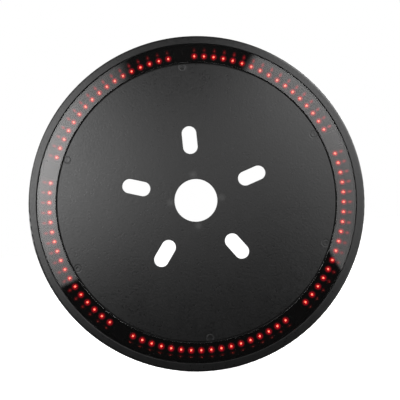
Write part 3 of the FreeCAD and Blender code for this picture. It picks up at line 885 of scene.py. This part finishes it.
@dataclass(frozen=True)
class LampArc:
    """One arc of the lamp: its trough, circuit board, LEDs and resistors."""

    number: int
    row: LedRow = LedRow()
    face: float = 4.0 * MM
    package_length: float = 3.5 * MM
    package_breadth: float = 2.8 * MM
    package_height: float = 1.9 * MM
    package_corner: float = 0.3 * MM
    cup_points: int = 16
    cup_radius: float = 1.2 * MM
    cup_floor_radius: float = 0.95 * MM
    cup_depth: float = 0.45 * MM
    dome_radius: float = 0.92 * MM
    dome_rise: float = 0.35 * MM
    dome_depth: float = 0.405 * MM
    dome_foot: float = 0.1 * MM
    dome_curve: tuple[Span, ...] = ((0, 0), (0.45, 0.04 * MM), (0.8, 0.2 * MM))
    dome_steps: int = 12

    def build(self, materials: Finishes) -> None:
        """Make the LEDs and dress the rest."""
        angles = self.row.angles(self.number)
        packages = round_copies(self.make_package(), angles)
        complete(packages, f"led_packages_{self.number}", Slot.LED_BODY, materials,
                 f"led_bodies_{self.number}")
        domes = round_copies(self.make_dome(), angles)
        complete(domes, f"led_domes_{self.number}", Slot.LED_EYE, materials,
                 f"led_emitters_{self.number}")
        dress(f"light_trough_{self.number}", materials[Slot.TROUGH])
        dress(f"circuit_board_{self.number}", materials[Slot.BOARD])
        dress(f"resistors_{self.number}", materials[Slot.RESISTOR])

    def make_package(self) -> Piece:
        """Make one LED package at the top of the disc, with a round cup in its front."""
        middle = Vector((0, self.face + self.package_height / 2, self.row.circle))
        bpy.ops.object.select_all(action="DESELECT")
        bpy.ops.mesh.primitive_cube_add(
            size=1, location=middle,
            scale=(self.package_breadth, self.package_height, self.package_length))
        package = bpy.context.object
        settle(package)
        near = 0.01 * MM
        with editing(package, Mode.EDGES):
            pick(package, Mode.EDGES, lambda place: abs(place.y - middle.y) < near)
            bpy.ops.mesh.bevel(offset=self.package_corner, segments=1, affect="EDGES")
            pick(package, Mode.FACES, lambda place: abs(place.y - self.face) < near)
            bpy.ops.mesh.delete(type="ONLY_FACE")
            bpy.ops.mesh.primitive_circle_add(
                vertices=self.cup_points, radius=self.cup_radius,
                location=(0, self.face, self.row.circle), rotation=(math.pi / 2, 0, 0))
            pick(package, Mode.EDGES, lambda place: abs(place.y - self.face) < near)
            bpy.ops.mesh.bridge_edge_loops()
            pick(package, Mode.POINTS, lambda place: (
                abs(place.y - self.face) < near
                and math.hypot(place.x, place.z - self.row.circle) < self.cup_radius + near))
            bpy.ops.mesh.extrude_region_move(
                TRANSFORM_OT_translate={"value": (0, self.cup_depth, 0)})
            narrow = self.cup_floor_radius / self.cup_radius
            bpy.ops.transform.resize(value=(narrow, 1, narrow))
            bpy.ops.mesh.edge_face_add()
            bpy.ops.mesh.select_all(action="SELECT")
            bpy.ops.mesh.normals_make_consistent(inside=False)
        smooth(package)
        return package

    def make_dome(self) -> Piece:
        """Make the low dome of clear resin in one package's cup."""
        floor = self.face + self.dome_depth
        top = self.face - self.dome_rise
        radius = self.dome_radius
        dome = turn_section([
            *(Corner(radius * share, top + drop) for share, drop in self.dome_curve),
            Corner(radius, self.face + self.dome_foot),
            Corner(radius, floor),
            Corner(0, floor),
        ], self.dome_steps, Vector((0, 0, self.row.circle)))
        smooth(dome, angle=60)
        return dome


@dataclass(frozen=True)
class LampWiring:
    """The wires from board to board and the screws that hold the boards."""

    def build(self, materials: Finishes) -> None:
        """Dress the wires and the screws."""
        dress("board_links", materials[Slot.WIRE])
        dress("board_screws", materials[Slot.STEEL])


@dataclass(frozen=True)
class RearCover:
    """The ring that closes the lamp from behind, its gaskets and its screws."""

    edge_round: float = 0.3 * MM
    edge_segments: int = 2
    edge_angle: float = math.radians(40)
    flat_angle: float = math.radians(0.5)
    face: float = 12.0 * MM
    screw_circle: float = 143.25 * MM
    screw_angles: tuple[float, ...] = (0, 66.6, 114.2, 180, 245.8, 293.4)
    screw_twist: float = 37.0
    screw_steps: int = 40
    screw_segments: int = 2
    head_radius: float = 2.8 * MM
    head_round: float = 0.15 * MM
    shank_radius: float = 1.5 * MM
    screw_length: float = 9.5 * MM
    recess_width: float = 0.7 * MM
    recess_length: float = 2.8 * MM
    recess_depth: float = 0.8 * MM
    recess_taper: float = 0.5

    def build(self, materials: Finishes) -> None:
        """Make the cover and its screws and dress the gaskets."""
        self.make_ring(materials)
        angles = [math.radians(angle) for angle in self.screw_angles]
        screws = round_copies(self.make_screw(), angles, self.screw_circle,
                              math.radians(self.screw_twist))
        complete(screws, "countersunk_screws", Slot.BLACK_SCREW, materials, "cover_screws")
        dress("cover_gasket_inner", materials[Slot.GASKET])
        dress("cover_gasket_outer", materials[Slot.GASKET])

    def make_ring(self, materials: Finishes) -> Piece:
        """Take the cover's shape from its CAD node and break its sharp edges."""
        cover = bpy.data.objects.new("cover", bpy.data.objects["rear_cover"].data.copy())
        bpy.context.scene.collection.objects.link(cover)
        with editing(cover):
            bpy.ops.mesh.select_all(action="SELECT")
            bpy.ops.mesh.remove_doubles(threshold=WELD)
            bpy.ops.mesh.dissolve_limited(angle_limit=self.flat_angle)
        bevel = cover.modifiers.new("edges", "BEVEL")
        bevel.width = self.edge_round
        bevel.segments = self.edge_segments
        bevel.limit_method = "ANGLE"
        bevel.angle_limit = self.edge_angle
        bpy.ops.object.modifier_apply(modifier=bevel.name)
        smooth(cover)
        level = cover.modifiers.new("flat_faces", "WEIGHTED_NORMAL")
        level.keep_sharp = True
        bpy.ops.object.modifier_apply(modifier=level.name)
        return complete(cover, "closing_ring", Slot.COVER, materials, "rear_cover")

    def make_screw(self) -> Piece:
        """Make one countersunk screw with a cross recess, at the top of the disc."""
        cone = self.head_radius - self.shank_radius
        tip = self.face - self.screw_length
        screw = turn_section([
            Corner(0, self.face),
            Corner(self.head_radius, self.face, self.head_round),
            Corner(self.shank_radius, self.face - cone),
            Corner(self.shank_radius, tip + self.shank_radius),
            Corner(0, tip),
        ], self.screw_steps, Vector((0, 0, self.screw_circle)), self.screw_segments)
        for turn in (0, math.pi / 2):
            bpy.ops.object.select_all(action="DESELECT")
            bpy.ops.mesh.primitive_cube_add(
                size=1, location=(0, self.face, self.screw_circle), rotation=(0, turn, 0),
                scale=(self.recess_width, self.recess_depth * 2, self.recess_length))
            arm = bpy.context.object
            settle(arm)
            with editing(arm):
                pick(arm, Mode.FACES, lambda place: place.y < self.face - self.recess_depth / 2)
                bpy.ops.transform.resize(value=(self.recess_taper, 1, self.recess_taper))
            cut = screw.modifiers.new("recess", "BOOLEAN")
            cut.operation = "DIFFERENCE"
            cut.solver = "EXACT"
            cut.object = arm
            bpy.context.view_layer.objects.active = screw
            bpy.ops.object.modifier_apply(modifier=cut.name)
            bpy.data.objects.remove(arm)
        smooth(screw)
        return screw


@dataclass(frozen=True)
class CableGrommet:
    """Ribbed rubber grommet that lines the lead outlet."""

    circle: float = 157.2 * MM
    angle: float = math.radians(156)
    bore: float = 2.2 * MM
    neck: float = 3.2 * MM
    flange: float = 4.8 * MM
    inner_end: float = 8.8 * MM
    cover_front: float = 9.8 * MM
    cover_back: float = 12.0 * MM
    outer_end: float = 13.5 * MM
    flange_thickness: float = 0.7 * MM
    collar_foot: float = 3.7 * MM
    collar_top: float = 3.4 * MM
    mouth: float = 2.6 * MM
    mouth_depth: float = 0.35 * MM
    flange_round: float = 0.35 * MM
    collar_round: float = 0.3 * MM
    lip_round: float = 0.2 * MM
    bore_round: float = 0.15 * MM
    steps: int = 64
    segments: int = 3

    def build(self, materials: Finishes) -> None:
        """Turn the grommet."""
        mouth_floor = self.outer_end - self.mouth_depth
        middle = Vector((math.sin(self.angle), 0, math.cos(self.angle))) * self.circle
        grommet = turn_section([
            Corner(self.bore, self.inner_end, self.lip_round),
            Corner(self.flange, self.inner_end, self.flange_round),
            Corner(self.flange, self.cover_front),
            Corner(self.neck, self.cover_front),
            Corner(self.neck, self.cover_back),
            Corner(self.flange, self.cover_back),
            Corner(self.flange, self.cover_back + self.flange_thickness, self.collar_round),
            Corner(self.collar_foot, mouth_floor, self.collar_round),
            Corner(self.collar_top, self.outer_end, self.lip_round),
            Corner(self.mouth, self.outer_end, self.lip_round),
            Corner(self.bore, mouth_floor, self.bore_round),
        ], self.steps, middle, self.segments)
        smooth(grommet)
        complete(grommet, "lead_grommet", Slot.GROMMET, materials, "cable_grommet")


@dataclass(frozen=True)
class HotSpot:
    """The bright patch on a lamp's diffuser: where it is from the corner, how far it reaches."""

    across: float
    up: float
    reach: float
    radiance: float


@dataclass(frozen=True)
class SoftBox:
    """A rectangular studio lamp, given by one corner and the directions of the two sides there.

    The rim is how far from the edge the glow starts to fall to nought, across and up.
    """

    name: str
    corner: Vector
    side: Vector
    rise: Vector
    width: float
    height: float
    radiance: float
    spot: HotSpot
    rim: Span = (0.05, 0.05)

    def place(self, towards: Vector) -> Piece:
        """Hang the lamp so that its face looks to the given point.

        Args:
            towards: a point on the lit side.

        Returns:
            The lamp.
        """
        side, rise = self.side.normalized(), self.rise.normalized()
        middle = self.corner + side * self.width / 2 + rise * self.height / 2
        back = side.cross(rise)
        across = self.spot.across
        if back.dot(middle - towards) < 0:
            side, back = -side, -back
            across = self.width - across
        data = bpy.data.lights.new(self.name, "AREA")
        data.shape = "RECTANGLE"
        data.size, data.size_y = self.width, self.height
        data.energy = math.pi * self.width * self.height
        self.light_face(data, across)
        lamp = bpy.data.objects.new(self.name, data)
        turn = Matrix((side, rise, back)).transposed().to_4x4()
        lamp.matrix_world = Matrix.Translation(middle) @ turn
        lamp.visible_camera = False
        bpy.context.scene.collection.objects.link(lamp)
        return lamp

    def light_face(self, data: bpy.types.Light, across: float) -> None:
        """Give the lamp's face its glow and its brighter patch.

        Args:
            data: the lamp.
            across: the patch's distance along the lamp's own X axis.
        """
        data.use_nodes = True
        sheet = NodeSheet(data.node_tree)
        place = sheet.add("ShaderNodeNewGeometry").outputs["Parametric"]
        place = sheet.vector("MULTIPLY", place, (self.width, self.height, 0)).outputs[0]
        away = sheet.vector("DISTANCE", place, (across, self.spot.up, 0)).outputs[1]
        glow = sheet.fade(away, self.radiance + self.spot.radiance, self.radiance,
                          0, self.spot.reach)
        glow = sheet.math("MULTIPLY", glow, self.towards_rim(sheet, place))
        emission = sheet.add("ShaderNodeEmission", {"Strength": glow})
        sheet.add("ShaderNodeOutputLight", {0: emission.outputs[0]})

    def towards_rim(self, sheet: NodeSheet, place: Socket) -> Socket:
        """One over the diffuser's middle, falling to nought at its rim.

        Args:
            sheet: the lamp's nodes.
            place: the place on the diffuser.

        Returns:
            The share of the glow.
        """
        half = (self.width / 2, self.height / 2, 0)
        off = sheet.vector("ABSOLUTE", sheet.vector("SUBTRACT", place, half).outputs[0]).outputs[0]
        parts = sheet.parts(off)
        across, up = (sheet.fade(parts[axis], 1, 0, side - rim, side)
                      for axis, side, rim in zip("XY", half, self.rim))
        return sheet.math("MULTIPLY", across, up)


@dataclass(frozen=True)
class Viewpoint:
    """Where the camera stands: round the aim, up from it, and how it is tipped, in degrees."""

    aim: Vector
    distance: float
    azimuth: float
    elevation: float
    roll: float
    lens: float
    sensor: float = 36.0
    clip: float = 0.01

    def place(self) -> Piece:
        """Set the camera up."""
        turn = (Matrix.Rotation(math.radians(self.azimuth), 4, "Z")
                @ Matrix.Rotation(math.radians(90 - self.elevation), 4, "X")
                @ Matrix.Rotation(math.radians(self.roll), 4, "Z"))
        data = bpy.data.cameras.new("camera")
        data.sensor_width = self.sensor
        data.lens = self.lens
        data.clip_start = self.clip
        camera = bpy.data.objects.new("camera", data)
        back = turn.to_3x3() @ Vector((0, 0, 1))
        camera.matrix_world = Matrix.Translation(self.aim + back * self.distance) @ turn
        bpy.context.scene.collection.objects.link(camera)
        bpy.context.scene.camera = camera
        return camera


@dataclass(frozen=True)
class Studio:
    """Pale floor, white surroundings and soft lamps."""

    floor_height: float
    boxes: tuple[SoftBox, ...]
    view: Viewpoint
    floor_size: float = 12.0
    floor_cloud: float = 0.4
    floor_tones: tuple[Colour, Colour] = ((0.8, 0.8, 0.8), (0.84, 0.84, 0.84))
    floor_roughness: float = 0.9
    upper_glow: Span = (0.05, 0.095)
    upper_reach: Span = (-0.4, 0.4)
    rear_glow: Span = (0, 0.45)
    rear_reach: Span = (0.05, 0.6)

    def build(self) -> None:
        """Set up the whole studio."""
        self.lay_floor()
        self.light_world()
        for box in self.boxes:
            box.place(Vector((0, 0, 0)))
        self.view.place()
        bpy.context.scene.view_settings.view_transform = "Standard"
        log.info("studio: floor, %d lamps and camera", len(self.boxes))

    def lay_floor(self) -> None:
        """A wide pale floor that the disc stands on and that sends no light back to it."""
        bpy.ops.object.select_all(action="DESELECT")
        bpy.ops.mesh.primitive_plane_add(size=self.floor_size,
                                        location=(0, 0, self.floor_height))
        floor = bpy.context.object
        floor.name = "floor"
        floor.visible_diffuse = False
        floor.visible_glossy = False
        floor.visible_transmission = False
        sheet = Finish("floor_white")
        tone = sheet.blend(sheet.noise(self.floor_cloud), *self.floor_tones)
        floor.data.materials.append(sheet.close(
            Base_Color=tone, Roughness=self.floor_roughness, Emission_Color=WHITE,
            Emission_Strength=1.0))
        floor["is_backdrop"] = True

    def light_world(self) -> None:
        """White surroundings to look at, which light the disc dimly, and mostly from behind."""
        world = bpy.data.worlds.new("studio_air")
        world.use_nodes = True
        sheet = NodeSheet(world.node_tree)
        towards = sheet.add("ShaderNodeTexCoord").outputs["Generated"]
        parts = sheet.parts(towards)
        upper = sheet.between(parts["Z"], *self.upper_glow, *self.upper_reach)
        rear = sheet.fade(parts["Y"], *self.rear_glow, *self.rear_reach)
        light = sheet.math("ADD", upper, rear)
        dim = sheet.add("ShaderNodeBackground", {"Color": WHITE, "Strength": light})
        seen = sheet.add("ShaderNodeBackground", {"Color": WHITE})
        path = sheet.add("ShaderNodeLightPath").outputs["Is Camera Ray"]
        mix = sheet.add("ShaderNodeMixShader", {0: path, 1: dim.outputs[0], 2: seen.outputs[0]})
        sheet.add("ShaderNodeOutputWorld", {"Surface": mix.outputs[0]})
        bpy.context.scene.world = world


def studio_for(low: Vector) -> Studio:
    """The studio for an object with this lowest corner."""
    left = SoftBox(
        "lamp_left", corner=Vector((-0.0541, -0.7101, -0.0355)),
        side=Vector((-0.855, 0.415, -0.311)), rise=Vector((-0.158, 0.363, 0.918)),
        width=0.8125, height=0.904, radiance=0.75,
        spot=HotSpot(across=0.3625, up=0.324, reach=0.42, radiance=5.8), rim=(0.05, 0.014))
    right = SoftBox(
        "lamp_right", corner=Vector((0.1029, -0.7118, 0.3256)),
        side=Vector((0.473, 0.745, 0.471)), rise=Vector((0.337, 0.341, -0.878)),
        width=0.705, height=0.9133, radiance=1.6,
        spot=HotSpot(across=0.605, up=0.1633, reach=0.62, radiance=5.5), rim=(0.014, 0.036))
    rear = SoftBox(
        "lamp_rear", corner=Vector((0.3, 1.1, 0.1)),
        side=Vector((1.0, -0.4, 0.0)), rise=Vector((0.0, -0.2, 1.0)),
        width=1.0, height=1.0, radiance=3.0,
        spot=HotSpot(across=0.4, up=0.5, reach=0.6, radiance=5.0))
    edge = SoftBox(
        "lamp_edge", corner=Vector((-1.3, 0.1, -0.1)),
        side=Vector((0.2, 1.0, 0.0)), rise=Vector((0.0, 0.0, 1.0)),
        width=0.8, height=0.9, radiance=1.8,
        spot=HotSpot(across=0.4, up=0.5, reach=0.4, radiance=1.7))
    fill = SoftBox(
        "lamp_fill", corner=Vector((-0.22, -0.78, -0.2)),
        side=Vector((1, 0, 0)), rise=Vector((0, 0, 1)),
        width=0.44, height=0.56, radiance=0.5,
        spot=HotSpot(across=0.27, up=0.4, reach=0.42, radiance=1.0))
    view = Viewpoint(aim=Vector((0.00433, low.y, -0.0003)), distance=0.48121, azimuth=0.25,
                     elevation=-3.418, roll=-5.933, lens=41.13)
    return Studio(low.z, (left, right, fill, rear, edge), view)


def main() -> None:
    """Build and dress the lamp, piece by piece, and set up the studio."""
    logging.basicConfig(level=logging.INFO, format="%(message)s")
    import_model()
    cad_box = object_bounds()
    bpy.ops.object.select_all(action="DESELECT")
    materials = finishes()
    arcs = [LampArc(number) for number in ARCS]
    for assembly in (FrontShell(), Lens(), *arcs, LampWiring(), RearCover(), CableGrommet()):
        assembly.build(materials)
    low = Vector(cad_box[0])
    studio_for(low).build()


if __name__ == "__main__":
    main()
